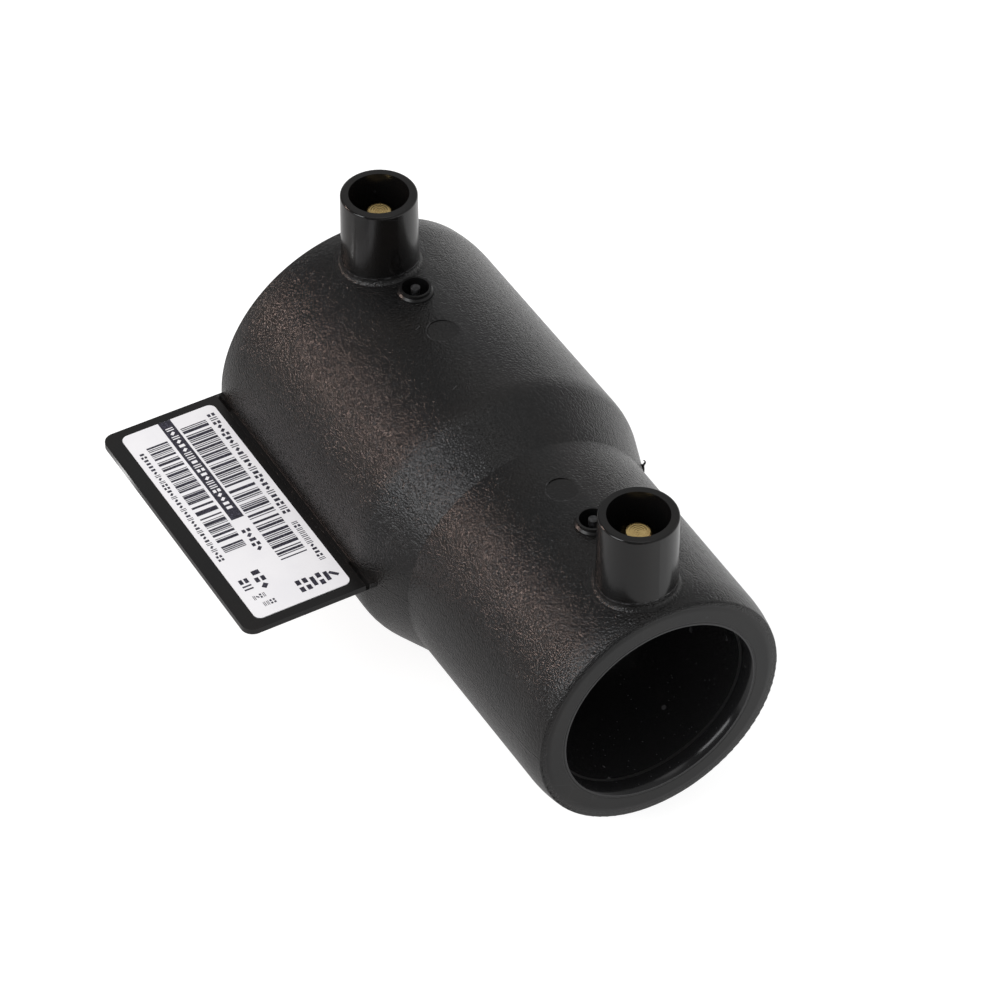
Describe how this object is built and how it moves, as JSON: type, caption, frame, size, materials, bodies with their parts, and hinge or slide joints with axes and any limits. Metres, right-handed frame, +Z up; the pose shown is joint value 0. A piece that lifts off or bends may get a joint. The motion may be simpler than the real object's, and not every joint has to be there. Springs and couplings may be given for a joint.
{
  "type": "electrofusion reducer",
  "caption": "Black moulded pipe reducer with stepped sockets, shrouded contact pins on its crown, melt indicators and a flat label tag.",
  "frame": {"origin": "centre of the large socket's mouth, on the pipe axis", "axes": "+X along the pipe axis from the large mouth to the small mouth, +Z up along the two terminals, the tag on the -Y side"},
  "size_m": [0.095, 0.0711, 0.0632],
  "materials": {
    "body": "black polyethylene, grained by the mould on the barrels, smooth on shrouds, tag and mouth face",
    "liner": "glossy black polyethylene bore",
    "wire": "drawn resistance wire",
    "pin": "turned brass with a plain end face",
    "indicator": "black polyethylene stem",
    "label": "white film label, printed black"
  },
  "bodies": {
    "root": {"body": "body", "liner": "liner", "heating_wire": "wire", "terminal_pin_large": "pin", "terminal_pin_small": "pin", "indicator_pin_large": "indicator", "indicator_pin_small": "indicator", "label": "label"}
  },
  "joints": []
}
